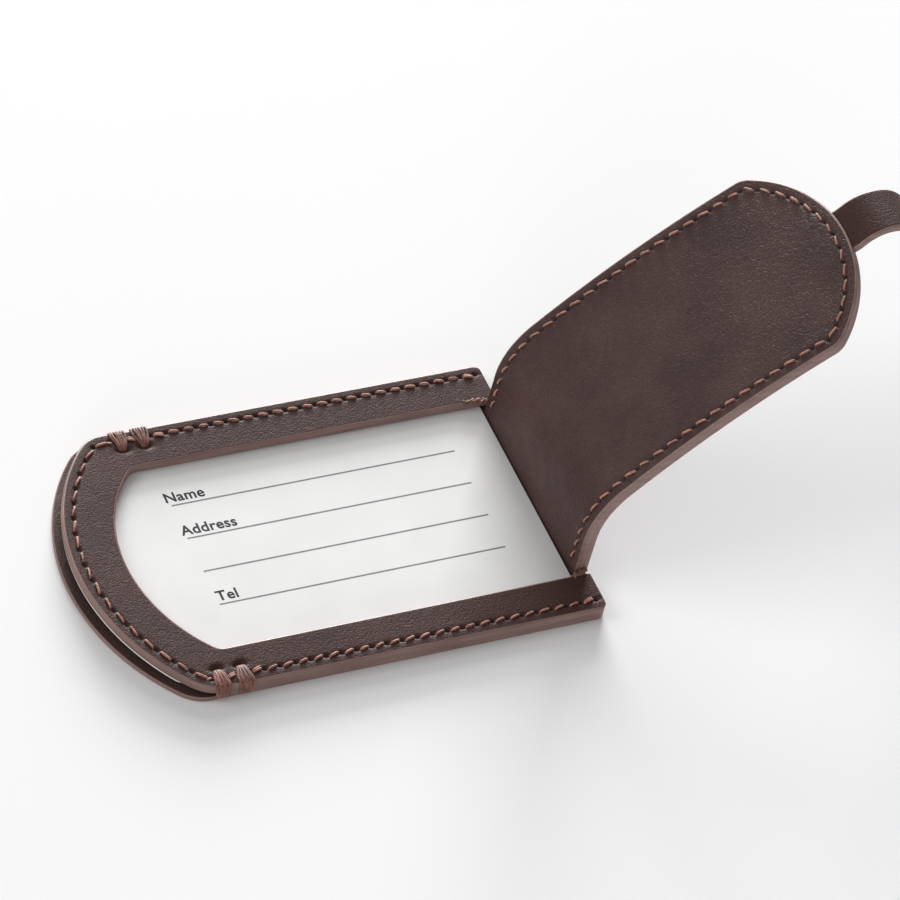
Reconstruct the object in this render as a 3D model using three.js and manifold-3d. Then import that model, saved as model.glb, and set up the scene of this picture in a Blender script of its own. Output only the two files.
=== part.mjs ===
// Leather luggage tag: a window sleeve for an identity card, with a privacy flap and a strap.
// Millimetres, +Z up. The tag lies on its back panel. The origin is the middle of that panel's
// underside, +X runs along the sleeve to the square end that carries the flap, +Y across it.
import * as THREE from 'three';
import * as BufferGeometryUtils from 'three/addons/utils/BufferGeometryUtils.js';
import Module from 'manifold-3d';

const wasm = await Module();
wasm.setup();

// Sleeve, in plan
const SLEEVE_LENGTH = 98.4;
const SLEEVE_WIDTH = 64;
const END_RADIUS = 42.5;
const SHOULDER_RADIUS = 8;
const BACK_OVERHANG = 1.4;
const WINDOW_WIDTH = 46;
const LIP_BAND = 9.9;
const WINDOW_RADIUS = 31.3;
const WINDOW_CORNER = 3;

// Leather and card, through the thickness
const BACK_PLY = 0.5;
const PLY_GAP = 0.1;
const CARD_THICKNESS = 0.3;
const CARD_BOTTOM = 1.15;
const LINING_BOTTOM = 1.65;
const FACE_BOTTOM = 2.3;
const SLEEVE_TOP = 3.4;

// Identity card
const CARD_WIDTH = 56;
const CARD_OVERHANG = 0.2;
const CARD_RIGHT = 46;
const SEWN_MARGIN = 3.5;

// Round lip past the bar tacks
const LIP_AXIS_X = -29.2;
const LIP_GAP = 0.3;
const LIP_REST_LIFT = THREE.MathUtils.degToRad(4);

// Flap, seen from the side: a foot, a soft bend, a long slightly bowed panel
const FLAP_WIDTH = 44;
const FLAP_PLY = 1.4;
const FLAP_THICKNESS = 2 * FLAP_PLY;
const FLAP_INNER_X = SLEEVE_LENGTH / 2 - FLAP_THICKNESS;
const CREASE_Z = 3.4;
const FOOT_TOP = 12;
const BEND_RADIUS = 19.3;
const BEND_ANGLE = THREE.MathUtils.degToRad(43);
const PANEL_RADIUS = 225;
const PANEL_ANGLE = THREE.MathUtils.degToRad(12.5);
const TIP_LENGTH = 12.6;
const TIP_RADIUS = 26.2;
const TIP_CORNER = 4.5;
const BEND_GAP = 0.3;
const HEEL_SEGMENTS = 24;

// Thread
const SEAM_INSET = 2.3;
const THREAD_WIDTH = 0.7;
const THREAD_HEIGHT = 0.3;
const TACK_X = [-29.3, -24.5];
const TACK_LENGTH = 3.1;
const TACK_REACH = 3.2;

// Strap, seen from the side
const STRAP_WIDTH = 10;
const STRAP_THICKNESS = 1.6;
const STRAP_RISE = THREE.MathUtils.degToRad(14);
const STRAP_RISE_RADIUS = 8;
const STRAP_ARCH_RADIUS = 8;
const STRAP_FALL = THREE.MathUtils.degToRad(56);
const STRAP_FLOOR_RADIUS = 14;
const STRAP_FLOOR_GAP = 0.1;
const STRAP_FLOOR_LENGTH = 51;
const STRAP_ROOT_GAP = 0.3;
const STUD_FROM_END = 9;
const SCREW_RADIUS = 3;
const SCREW_HEAD = 0.8;
const SCREW_SEGMENTS = 16;

// Triangle budget
const ARC_SEGMENTS = 10;
const CURVE_STEP = THREE.MathUtils.degToRad(6);

const HALF_LENGTH = SLEEVE_LENGTH / 2;
const HALF_WIDTH = SLEEVE_WIDTH / 2;
const HALF_WINDOW = WINDOW_WIDTH / 2;
const HALF_FLAP = FLAP_WIDTH / 2;

const leather = new THREE.MeshStandardMaterial({ color: 0x594a47, roughness: 0.62, metalness: 0 });
const lining = new THREE.MeshStandardMaterial({ color: 0x6e5650, roughness: 0.7, metalness: 0 });
const thread = new THREE.MeshStandardMaterial({ color: 0xa87466, roughness: 0.8, metalness: 0 });
const paper = new THREE.MeshStandardMaterial({ color: 0xececea, roughness: 0.85, metalness: 0 });
const brass = new THREE.MeshStandardMaterial({ color: 0xb08d57, roughness: 0.35, metalness: 1 });

function toSolid(geometry) {
  const bare = geometry.clone();
  bare.deleteAttribute('normal');
  bare.deleteAttribute('uv');
  const merged = BufferGeometryUtils.mergeVertices(bare, 1e-4);
  return new wasm.Manifold(new wasm.Mesh({
    numProp: 3,
    vertProperties: new Float32Array(merged.attributes.position.array),
    triVerts: new Uint32Array(merged.index.array),
  }));
}

function toGeometry(solid) {
  const mesh = solid.getMesh();
  const geometry = new THREE.BufferGeometry();
  geometry.setAttribute('position', new THREE.BufferAttribute(mesh.vertProperties, 3));
  geometry.setIndex(new THREE.BufferAttribute(mesh.triVerts, 1));
  return geometry;
}

function box(xLow, xHigh, yLow, yHigh, zLow, zHigh) {
  const geometry = new THREE.BoxGeometry(xHigh - xLow, yHigh - yLow, zHigh - zLow);
  return toSolid(geometry.translate((xLow + xHigh) / 2, (yLow + yHigh) / 2, (zLow + zHigh) / 2));
}

// A tongue: straight sides from xSquare, then small shoulder fillets into one arc that ends at xTip.
// The tip points along -X.
function tongue(xSquare, xTip, halfWidth, radius, corner) {
  const xCentre = xTip + radius;
  const reach = radius - corner;
  const rise = halfWidth - corner;
  const shoulder = Math.asin(rise / reach);
  const xFillet = xCentre - Math.sqrt(reach ** 2 - rise ** 2);
  const shape = new THREE.Shape();
  shape.moveTo(xSquare, -halfWidth);
  shape.lineTo(xSquare, halfWidth);
  shape.lineTo(xFillet, halfWidth);
  shape.absarc(xFillet, rise, corner, Math.PI / 2, Math.PI - shoulder, false);
  shape.absarc(xCentre, 0, radius, Math.PI - shoulder, Math.PI + shoulder, false);
  shape.absarc(xFillet, -rise, corner, Math.PI + shoulder, 1.5 * Math.PI, false);
  shape.closePath();
  return shape;
}

function slab(shape, zLow, zHigh) {
  const geometry = new THREE.ExtrudeGeometry(shape, {
    depth: zHigh - zLow, bevelEnabled: false, curveSegments: ARC_SEGMENTS,
  });
  return toSolid(geometry.translate(0, 0, zLow));
}

// A curve in the XZ plane made of straight runs and arcs. Each station holds a point and a heading.
function walk(x, z, heading, moves) {
  const stations = [{ x, z, heading }];
  for (const move of moves) {
    const steps = move.turn ? Math.max(2, Math.ceil(Math.abs(move.turn) / CURVE_STEP)) : 1;
    for (let i = 0; i < steps; i += 1) {
      const last = stations.at(-1);
      const turn = (move.turn ?? 0) / steps;
      const chord = move.turn ? 2 * move.radius * Math.sin(Math.abs(turn) / 2) : move.run;
      const along = last.heading + turn / 2;
      stations.push({
        x: last.x + chord * Math.cos(along),
        z: last.z + chord * Math.sin(along),
        heading: last.heading + turn,
      });
    }
  }
  return stations;
}

// The points at one distance to the right of a walked curve.
function offset(stations, distance) {
  return stations.map((s) => new THREE.Vector2(
    s.x + distance * Math.sin(s.heading),
    s.z - distance * Math.cos(s.heading),
  ));
}

// A sheet that follows a walked curve between two offsets, extruded across Y.
function sheet(stations, near, far, yLow, yHigh) {
  const outline = [...offset(stations, near), ...offset(stations, far).reverse()];
  const geometry = new THREE.ExtrudeGeometry(new THREE.Shape(outline), {
    depth: yHigh - yLow, bevelEnabled: false, curveSegments: 1,
  });
  geometry.rotateX(Math.PI / 2);
  return toSolid(geometry.translate(0, yHigh, 0));
}

const group = new THREE.Group();

function add(name, solid, material, parent = group) {
  const mesh = new THREE.Mesh(toGeometry(solid), material);
  mesh.name = name;
  parent.add(mesh);
  return mesh;
}

// Back panel: two plies. The inner one is doubled under the flap's heel, where the leather folds up.
const xBackTip = -HALF_LENGTH - BACK_OVERHANG;
const backOutline = tongue(HALF_LENGTH, xBackTip, HALF_WIDTH, END_RADIUS + BACK_OVERHANG, SHOULDER_RADIUS);
add('back_panel_outer', slab(backOutline, 0, BACK_PLY), leather);
const foldTop = CREASE_Z - FLAP_THICKNESS / 2 - PLY_GAP;
const fold = box(FLAP_INNER_X, HALF_LENGTH, -HALF_FLAP, HALF_FLAP, BACK_PLY, foldTop);
add('back_panel_lining', slab(backOutline, BACK_PLY, 2 * BACK_PLY).add(fold), lining);

// Frame: face ply and lining ply. The lining keeps its full depth at the sewn sides and is thinned
// inside them, which leaves the pocket for the card.
const frameOutline = tongue(HALF_LENGTH, -HALF_LENGTH, HALF_WIDTH, END_RADIUS, SHOULDER_RADIUS);
const windowOutline = tongue(
  HALF_LENGTH + 1, -HALF_LENGTH + LIP_BAND, HALF_WINDOW, WINDOW_RADIUS, WINDOW_CORNER,
);
const windowCut = slab(windowOutline, 0, SLEEVE_TOP + 1);
const face = slab(frameOutline, FACE_BOTTOM, SLEEVE_TOP).subtract(windowCut);
const thinned = slab(frameOutline, LINING_BOTTOM, FACE_BOTTOM).subtract(windowCut);
const margin = slab(frameOutline, 2 * BACK_PLY, FACE_BOTTOM)
  .subtract(box(
    -HALF_LENGTH - 1, HALF_LENGTH + 1, -HALF_WIDTH + SEWN_MARGIN, HALF_WIDTH - SEWN_MARGIN, 0, 5,
  ));
const xRails = LIP_AXIS_X + LIP_GAP / 2;
const sides = [['near', -HALF_WIDTH - 1, 0], ['far', 0, HALF_WIDTH + 1]];
for (const [side, yLow, yHigh] of sides) {
  const half = box(xRails, HALF_LENGTH + 1, yLow, yHigh, 0, SLEEVE_TOP + 1);
  add(`${side}_rail_face`, face.intersect(half), leather);
  add(`${side}_rail_lining`, thinned.add(margin).intersect(half), lining);
}

// Round lip: the same two plies past the bar tacks, turned up a little about the top of that line.
const lip = new THREE.Group();
lip.position.set(LIP_AXIS_X, 0, SLEEVE_TOP);
lip.rotation.y = LIP_REST_LIFT;
group.add(lip);
const xLip = LIP_AXIS_X - LIP_GAP / 2;
const liningCut = box(-HALF_LENGTH - 1, xLip, -HALF_WIDTH - 1, HALF_WIDTH + 1, 0, FACE_BOTTOM - PLY_GAP);
const faceCut = box(-HALF_LENGTH - 1, xLip, -HALF_WIDTH - 1, HALF_WIDTH + 1, FACE_BOTTOM, SLEEVE_TOP + 1);
const toLip = [-LIP_AXIS_X, 0, -SLEEVE_TOP];
add('lip_face', face.intersect(faceCut).translate(toLip), leather, lip);
add('lip_lining', thinned.intersect(liningCut).translate(toLip), lining, lip);

// Identity card, loose in the pocket.
const cardOutline = tongue(
  CARD_RIGHT, -HALF_LENGTH - CARD_OVERHANG, CARD_WIDTH / 2, END_RADIUS + CARD_OVERHANG, WINDOW_CORNER,
);
add('id_card', slab(cardOutline, CARD_BOTTOM, CARD_BOTTOM + CARD_THICKNESS), paper);

// Flap. The walked curve is its inner face, from the crease up; the plies lie to its right.
const footMoves = [{ run: FOOT_TOP - CREASE_Z }, { turn: -BEND_ANGLE / 2, radius: BEND_RADIUS }];
const foot = walk(FLAP_INNER_X, CREASE_Z, Math.PI / 2, footMoves);
const middle = foot.at(-1);
const panelStart = {
  x: middle.x + BEND_GAP * Math.cos(middle.heading),
  z: middle.z + BEND_GAP * Math.sin(middle.heading),
};
const panel = walk(panelStart.x, panelStart.z, middle.heading, [
  { turn: -BEND_ANGLE / 2, radius: BEND_RADIUS },
  { turn: -PANEL_ANGLE, radius: PANEL_RADIUS },
  { run: TIP_LENGTH },
]);
const tip = panel.at(-1);

// The heel is round about the crease line, so that the foot can turn there.
function heel(inner, outer) {
  const radius = FLAP_THICKNESS / 2;
  const round = new THREE.CylinderGeometry(radius, radius, FLAP_WIDTH, HEEL_SEGMENTS);
  round.translate(FLAP_INNER_X + radius, 0, CREASE_Z);
  const keep = box(FLAP_INNER_X + inner, FLAP_INNER_X + outer, -HALF_FLAP, HALF_FLAP, 0, CREASE_Z);
  return toSolid(round).intersect(keep);
}

// The panel's outline in its own plane at the tip: the sleeve's tongue shape turned to point up the flap.
function panelOutline(inset) {
  const shape = tongue(120, inset, HALF_FLAP - inset, TIP_RADIUS - inset, TIP_CORNER);
  const geometry = new THREE.ExtrudeGeometry(shape, {
    depth: 60, bevelEnabled: false, curveSegments: ARC_SEGMENTS,
  });
  geometry.translate(0, 0, -30);
  geometry.rotateY(Math.PI - tip.heading);
  return toSolid(geometry.translate(tip.x, 0, tip.z));
}

const flapPlies = [
  ['face', 0, FLAP_PLY - PLY_GAP / 2, leather],
  ['back', FLAP_PLY + PLY_GAP / 2, FLAP_THICKNESS, leather],
];
const outline = panelOutline(0);
for (const [ply, inner, outer, material] of flapPlies) {
  const stand = sheet(foot, inner, outer, -HALF_FLAP, HALF_FLAP).add(heel(inner, outer));
  add(`flap_foot_${ply}`, stand, material);
  add(`flap_${ply}`, sheet(panel, inner, outer, -HALF_FLAP, HALF_FLAP).intersect(outline), material);
}

// Seams: a low band of thread along each line of stitches.
function seamSlab(inset, zLow, zHigh) {
  const shape = tongue(
    HALF_LENGTH - 3, -HALF_LENGTH + inset, HALF_WIDTH - inset, END_RADIUS - inset, SHOULDER_RADIUS,
  );
  return slab(shape, zLow, zHigh);
}

const seamInner = HALF_WIDTH - SEAM_INSET - THREAD_WIDTH / 2;
const seamTop = SLEEVE_TOP + THREAD_HEIGHT;
const seamRing = seamSlab(SEAM_INSET - THREAD_WIDTH / 2, SLEEVE_TOP, seamTop)
  .subtract(seamSlab(SEAM_INSET + THREAD_WIDTH / 2, SLEEVE_TOP - 1, seamTop + 1))
  .subtract(box(0, HALF_LENGTH, -seamInner, seamInner, SLEEVE_TOP - 1, seamTop + 1));
const xSeam = TACK_X[1] + TACK_LENGTH / 2 + 0.3;
for (const [side, yLow, yHigh] of sides) {
  const half = box(xSeam, HALF_LENGTH + 1, yLow, yHigh, 0, SLEEVE_TOP + 1);
  add(`${side}_rail_seam`, seamRing.intersect(half), thread);
}
const xLipSeam = TACK_X[0] - TACK_LENGTH / 2 - 0.3;
const lipSeamCut = box(-HALF_LENGTH - 1, xLipSeam, -HALF_WIDTH - 1, HALF_WIDTH + 1, 0, SLEEVE_TOP + 1);
const lipSeam = seamRing.intersect(lipSeamCut).translate(toLip).translate([0, 0, PLY_GAP]);
add('lip_seam', lipSeam, thread, lip);

// Flap seam on the inner face, round both sides and the tip.
const raised = sheet(panel, -THREAD_HEIGHT - PLY_GAP, -PLY_GAP, -HALF_FLAP, HALF_FLAP);
const flapSeam = raised
  .intersect(panelOutline(SEAM_INSET - THREAD_WIDTH / 2))
  .subtract(panelOutline(SEAM_INSET + THREAD_WIDTH / 2));
add('flap_seam', flapSeam, thread);

// Bar tacks: a wrap of thread over each side edge, beside the rails.
function barTack(x, side) {
  const outerY = HALF_WIDTH + THREAD_HEIGHT;
  const y = [side * (HALF_WIDTH - TACK_REACH), side * outerY].sort((a, b) => a - b);
  const wrap = box(x - TACK_LENGTH / 2, x + TACK_LENGTH / 2, y[0], y[1], 0, SLEEVE_TOP + THREAD_HEIGHT);
  const core = box(x - TACK_LENGTH, x + TACK_LENGTH, -HALF_WIDTH, HALF_WIDTH, -1, SLEEVE_TOP);
  return wrap.subtract(core);
}

// The wraps next to the lip end on the rail side of its joint line.
const tackX = [TACK_X[0] + TACK_LENGTH / 2 + LIP_GAP, TACK_X[1] + LIP_GAP];
for (const [side, sign] of [['near', -1], ['far', 1]]) {
  tackX.forEach((x, i) => add(`${side}_bar_tack_${i + 1}`, barTack(x, sign), thread));
}

// Foot tacks: a few strands from the flap's foot to each rail.
for (const [side, sign] of [['near', -1], ['far', 1]]) {
  const y = [sign * (HALF_WINDOW + 0.1), sign * (HALF_WINDOW + 2.3)].sort((a, b) => a - b);
  const tack = box(FLAP_INNER_X - 2, FLAP_INNER_X + 1, y[0], y[1], SLEEVE_TOP, SLEEVE_TOP + THREAD_HEIGHT);
  add(`${side}_foot_tack`, tack, thread);
}

// Strap: out of the flap's tip, over a small arch, down to the table and along it.
const rootX = tip.x + FLAP_PLY * Math.sin(tip.heading) + STRAP_ROOT_GAP * Math.cos(tip.heading);
const rootZ = tip.z - FLAP_PLY * Math.cos(tip.heading) + STRAP_ROOT_GAP * Math.sin(tip.heading);
const archStart = tip.heading + STRAP_RISE;
const archTurn = archStart + STRAP_FALL;
const riseEndZ = rootZ + STRAP_RISE_RADIUS * (Math.cos(tip.heading) - Math.cos(archStart));
const archEndZ = riseEndZ + STRAP_ARCH_RADIUS * (Math.cos(STRAP_FALL) - Math.cos(archStart));
const restZ = STRAP_THICKNESS / 2 + STRAP_FLOOR_GAP;
const fallEndZ = restZ + STRAP_FLOOR_RADIUS * (1 - Math.cos(STRAP_FALL));
const strapLine = walk(rootX, rootZ, tip.heading, [
  { turn: STRAP_RISE, radius: STRAP_RISE_RADIUS },
  { turn: -archTurn, radius: STRAP_ARCH_RADIUS },
  { run: (archEndZ - fallEndZ) / Math.sin(STRAP_FALL) },
  { turn: STRAP_FALL, radius: STRAP_FLOOR_RADIUS },
  { run: STRAP_FLOOR_LENGTH },
]);
const strapEnd = strapLine.at(-1);
const studX = strapEnd.x - STUD_FROM_END;
const strapBlank = sheet(
  strapLine, -STRAP_THICKNESS / 2, STRAP_THICKNESS / 2, -STRAP_WIDTH / 2, STRAP_WIDTH / 2,
);

function disc(radius, zLow, zHigh) {
  const geometry = new THREE.CylinderGeometry(radius, radius, zHigh - zLow, SCREW_SEGMENTS);
  geometry.rotateX(Math.PI / 2);
  return toSolid(geometry.translate(studX, 0, (zLow + zHigh) / 2));
}

// The screw's head sits in a pocket in the strap's underside.
const strapUnder = restZ - STRAP_THICKNESS / 2;
const pocket = disc(SCREW_RADIUS + PLY_GAP, strapUnder - 1, strapUnder + SCREW_HEAD + PLY_GAP);
add('strap', strapBlank.subtract(pocket), leather);
add('strap_stud_screw', disc(SCREW_RADIUS, strapUnder, strapUnder + SCREW_HEAD), brass);

// Stud on the strap's free end: a turned knob that stands on the leather.
const studProfile = [
  [0, 0], [3, 0], [3, 0.8], [1.4, 1.2], [1.4, 2.6], [2.4, 3.4], [2.6, 4.4], [1.8, 5.3], [0, 5.6],
].map(([r, z]) => new THREE.Vector2(r, z));
const stud = new THREE.LatheGeometry(studProfile, 20);
stud.rotateX(Math.PI / 2);
stud.translate(studX, 0, restZ + STRAP_THICKNESS / 2);
add('strap_stud', toSolid(stud), brass);

export default group;
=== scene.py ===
"""A leather luggage tag: a stitched window sleeve with its card, a standing privacy flap and a strap.

Lengths are in millimetres here and become metres when a mesh is made. A leather piece is drawn flat,
as rings of points that follow its outline, and a placing function then bends it to its shape.
"""
import math

import bpy
import numpy as np
from mathutils import Matrix, Vector


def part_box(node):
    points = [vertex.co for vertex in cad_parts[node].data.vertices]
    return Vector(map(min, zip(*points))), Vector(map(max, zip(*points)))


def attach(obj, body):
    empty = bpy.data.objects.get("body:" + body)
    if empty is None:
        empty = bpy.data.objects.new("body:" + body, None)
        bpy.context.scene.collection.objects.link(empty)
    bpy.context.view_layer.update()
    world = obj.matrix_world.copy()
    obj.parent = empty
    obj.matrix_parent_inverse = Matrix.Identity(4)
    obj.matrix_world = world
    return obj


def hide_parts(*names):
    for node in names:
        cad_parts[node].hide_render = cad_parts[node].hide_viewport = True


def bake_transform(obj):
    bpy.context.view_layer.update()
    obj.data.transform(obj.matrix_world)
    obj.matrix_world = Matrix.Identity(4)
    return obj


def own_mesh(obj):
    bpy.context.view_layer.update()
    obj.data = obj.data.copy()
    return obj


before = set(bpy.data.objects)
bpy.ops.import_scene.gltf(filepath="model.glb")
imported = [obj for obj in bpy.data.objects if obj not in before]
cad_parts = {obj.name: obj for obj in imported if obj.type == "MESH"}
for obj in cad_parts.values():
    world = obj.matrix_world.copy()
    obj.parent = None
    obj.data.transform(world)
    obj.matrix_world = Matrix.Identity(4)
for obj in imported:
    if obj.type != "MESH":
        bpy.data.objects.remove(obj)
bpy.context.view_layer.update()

MM = 0.001


def corners(node):
    """A CAD node's lowest and highest corners, in millimetres."""
    low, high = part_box(node)
    return np.array(low) / MM, np.array(high) / MM


# Sizes that come from the frame
PANEL_LOW, PANEL_HIGH = corners("back_panel_outer")
CARD_LOW, CARD_HIGH = corners("id_card")
SQUARE_X = PANEL_HIGH[0]
HALF_WIDTH = PANEL_HIGH[1]
BACK_TIP_X = PANEL_LOW[0]
TOP_Z = corners("near_rail_face")[1][2]

# Sleeve
TIP_X = BACK_TIP_X + 1.8
END_RADIUS = 42.5
BACK_TRIM = 0.4
BACK_RADIUS = END_RADIUS + 1.0
CARD_INSET = 0.12
CARD_CORNER = 2.5
SHOULDER = 8.0
HALF_WINDOW = 23.0
WINDOW_TIP_X = TIP_X + 10.3
WINDOW_RADIUS = 31.3
WINDOW_CORNER = 3.0
FACE_Z = 2.3
LINING_Z = 1.6
BACK_Z = 1.05
BACK_PLY_Z = 0.52
EDGE_ROUND = 0.42
LIP_X = -29.2
LIP_SLOPE = math.tan(math.radians(4.0))
LIP_EASE = 7.0

# Flap, along its inner face from the crease up
HALF_FLAP = 22.0
PLY = 1.4
FLAP_X = SQUARE_X - 2 * PLY
FOLD_Z = 0.9
FOOT_TOP = 12.0
BEND_RADIUS = 19.3
BEND = math.radians(43)
PANEL_RADIUS = 225.0
PANEL_BEND = math.radians(12.5)
TIP_RUN = 12.6
FLAP_END_RADIUS = 26.2
FLAP_CORNER = 4.5
FOOT_SPLIT = 9.0

# Thread
SEAM_INSET = 2.3
THREAD = 0.225
RAIL_PITCH = 3.15
LIP_PITCH = 3.9
FLAP_PITCH = 3.4
RAIL_SEAM_END = 47.4
NEAR_TACKS = (-31.0, -26.3)
FAR_TACKS = (-28.4, -23.9)
TACK_CLEAR = 1.7
SPACER_LOW = -31.2
SPACER_INNER = 28.6
SEWN_LOW = -24.3
TACK_REACH = 4.2

# Strap
STRAP_WIDTH = 10.0
STRAP_THICKNESS = 1.6
RISE = math.radians(14)
RISE_RADIUS = 8.0
ARCH_RADIUS = 8.0
FALL = math.radians(56)
FLOOR_RADIUS = 14.0
FLOOR_GAP = 0.1
FLOOR_RUN = 51.0
STUD_FROM_END = 9.0

STEP = 0.3
RNG = np.random.default_rng(11)


# ---------------------------------------------------------------- node materials

def colour(r, g, b):
    """An sRGB colour of 0 to 255 as the linear colour that a shader takes."""
    return tuple(((c / 255 + 0.055) / 1.055) ** 2.4 for c in (r, g, b)) + (1.0,)


class Nodes:
    """A material with a Principled shader, and short ways to add nodes to it."""

    def __init__(self, name, roughness, specular=0.5, sheen=0.0, metallic=0.0):
        self.material = bpy.data.materials.new(name)
        self.material.use_nodes = True
        self.tree = self.material.node_tree
        self.shader = self.tree.nodes["Principled BSDF"]
        self.shader.inputs["Roughness"].default_value = roughness
        self.shader.inputs["Specular IOR Level"].default_value = specular
        self.shader.inputs["Sheen Weight"].default_value = sheen
        self.shader.inputs["Sheen Roughness"].default_value = 0.5
        self.shader.inputs["Metallic"].default_value = metallic
        self.place = self.add("ShaderNodeTexCoord").outputs["Object"]

    def add(self, kind, **values):
        node = self.tree.nodes.new(kind)
        for key, value in values.items():
            setattr(node, key, value)
        return node

    def link(self, source, target):
        self.tree.links.new(source, target)

    def noise(self, scale, detail=3.0, roughness=0.5, place=None):
        node = self.add("ShaderNodeTexNoise")
        node.inputs["Scale"].default_value = scale
        node.inputs["Detail"].default_value = detail
        node.inputs["Roughness"].default_value = roughness
        self.link(place or self.place, node.inputs["Vector"])
        return node.outputs["Fac"]

    def cells(self, scale, place=None):
        node = self.add("ShaderNodeTexVoronoi", feature="F1")
        node.inputs["Scale"].default_value = scale
        self.link(place or self.place, node.inputs["Vector"])
        return node.outputs["Distance"]

    def stretched(self, scale):
        node = self.add("ShaderNodeMapping")
        node.inputs["Scale"].default_value = scale
        self.link(self.place, node.inputs["Vector"])
        return node.outputs["Vector"]

    def ramp(self, source, *stops):
        node = self.add("ShaderNodeValToRGB")
        elements = node.color_ramp.elements
        while len(elements) < len(stops):
            elements.new(0.5)
        for element, (position, value) in zip(elements, stops):
            element.position = position
            element.color = value if len(value) == 4 else (*value, 1.0)
        self.link(source, node.inputs["Fac"])
        return node.outputs["Color"]

    def mix(self, share, first, second, blend="MIX"):
        node = self.add("ShaderNodeMix", data_type="RGBA", blend_type=blend)
        for socket, value in ((node.inputs[0], share), (node.inputs[6], first), (node.inputs[7], second)):
            if isinstance(value, bpy.types.NodeSocket):
                self.link(value, socket)
            else:
                socket.default_value = value
        return node.outputs[2]

    def bump(self, height, distance, below=None):
        node = self.add("ShaderNodeBump")
        node.inputs["Distance"].default_value = distance * MM
        node.inputs["Strength"].default_value = 1.0
        self.link(height, node.inputs["Height"])
        if below is not None:
            self.link(below, node.inputs["Normal"])
        return node.outputs["Normal"]


def pebbled_leather(name, dark, light, grain=1.0, roughness=0.5, gloss=0.16):
    """Fine pebbled leather: small rounded cells, painted shade between the pebbles and painted light on
    their tops, faint creases and slow colour changes.
    """
    m = Nodes(name, roughness, specular=gloss, sheen=0.0)
    warped = m.add("ShaderNodeVectorMath", operation="MULTIPLY_ADD")
    m.link(m.noise(900, 2.0), warped.inputs[0])
    warped.inputs[1].default_value = (0.0007, 0.0007, 0.0007)
    m.link(m.place, warped.inputs[2])
    cell = m.cells(2500, place=warped.outputs[0])
    wide = m.cells(1250, place=warped.outputs[0])
    patches = m.noise(70, 4.0, 0.6)
    fine = m.noise(5200, 2.0)
    base = m.mix(m.ramp(patches, (0.35, (0, 0, 0)), (0.68, (1, 1, 1))), dark, light)
    # painted shade and light: colour darkened in the low ground between the pebbles and brightened on their
    # tops, following the pebble bump
    pebble_shade = m.ramp(cell, (0.25, (1.07, 1.06, 1.06)), (0.8, (0.86, 0.85, 0.85)))
    m.link(m.mix(1.0, base, pebble_shade, "MULTIPLY"), m.shader.inputs["Base Color"])
    shine = m.ramp(m.noise(420, 3.0), (0.3, (roughness - 0.06,) * 3), (0.75, (roughness + 0.1,) * 3))
    m.link(shine, m.shader.inputs["Roughness"])
    slow = m.bump(m.noise(180, 2.0), 0.07 * grain)
    hills = m.bump(m.ramp(wide, (0.0, (1, 1, 1)), (0.9, (0, 0, 0))), 0.035 * grain, below=slow)
    pebbles = m.bump(m.ramp(cell, (0.0, (1, 1, 1)), (0.85, (0, 0, 0))), 0.10 * grain, below=hills)
    m.link(m.bump(fine, 0.015 * grain, below=pebbles), m.shader.inputs["Normal"])
    return m.material


def painted_edge(name, dark, light):
    """Edge paint: smooth thick coats with faint streaks along the leather's cut edge."""
    m = Nodes(name, 0.42, specular=0.5)
    streaks = m.noise(260, 4.0, place=m.stretched((0.35, 0.35, 4.0)))
    base = m.mix(m.ramp(streaks, (0.3, (0, 0, 0)), (0.7, (1, 1, 1))), dark, light)
    m.link(base, m.shader.inputs["Base Color"])
    waves = m.bump(streaks, 0.10)
    m.link(m.bump(m.noise(1500, 2.0), 0.02, below=waves), m.shader.inputs["Normal"])
    return m.material


def waxed_thread(name, dark, light):
    """Twisted waxed thread: strands and fine fuzz."""
    m = Nodes(name, 0.5, specular=0.5, sheen=0.25)
    strands = m.noise(2600, 3.0)
    tint = m.noise(420, 2.0)
    base = m.mix(m.ramp(strands, (0.38, (0, 0, 0)), (0.62, (1, 1, 1))), dark, light)
    m.link(m.mix(0.5, base, m.mix(m.ramp(tint, (0.35, (0, 0, 0)), (0.65, (1, 1, 1))), dark, light)),
           m.shader.inputs["Base Color"])
    m.link(m.bump(strands, 0.06), m.shader.inputs["Normal"])
    return m.material


def plain_card(name):
    """Smooth white card stock with faint fibres."""
    m = Nodes(name, 0.62, specular=0.35)
    fibres = m.noise(1800, 4.0)
    base = m.ramp(m.noise(90, 3.0), (0.3, colour(222, 222, 221)), (0.7, colour(227, 227, 226)))
    m.link(base, m.shader.inputs["Base Color"])
    m.link(m.bump(fibres, 0.008), m.shader.inputs["Normal"])
    return m.material


def print_ink(name, shade):
    """Printing ink that sinks unevenly into the card; its near-black mix also gives the painted shade in
    the needle holes.
    """
    m = Nodes(name, 0.6, specular=0.3)
    low, high = shade - 8, shade + 10
    ink = m.ramp(m.noise(2500, 3.0), (0.3, colour(low, low, low)), (0.7, colour(high, high, high)))
    m.link(ink, m.shader.inputs["Base Color"])
    return m.material


def turned_brass(name):
    """Polished brass with turning marks and slight tarnish."""
    m = Nodes(name, 0.24, metallic=1.0)
    rings = m.noise(900, 3.0, place=m.stretched((0.2, 0.2, 5.0)))
    tarnish = m.noise(300, 3.0)
    m.link(m.ramp(tarnish, (0.35, colour(196, 158, 92)), (0.75, colour(222, 190, 122))),
           m.shader.inputs["Base Color"])
    m.link(m.ramp(tarnish, (0.3, (0.2,) * 3), (0.8, (0.36,) * 3)), m.shader.inputs["Roughness"])
    m.link(m.bump(rings, 0.012), m.shader.inputs["Normal"])
    return m.material


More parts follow.
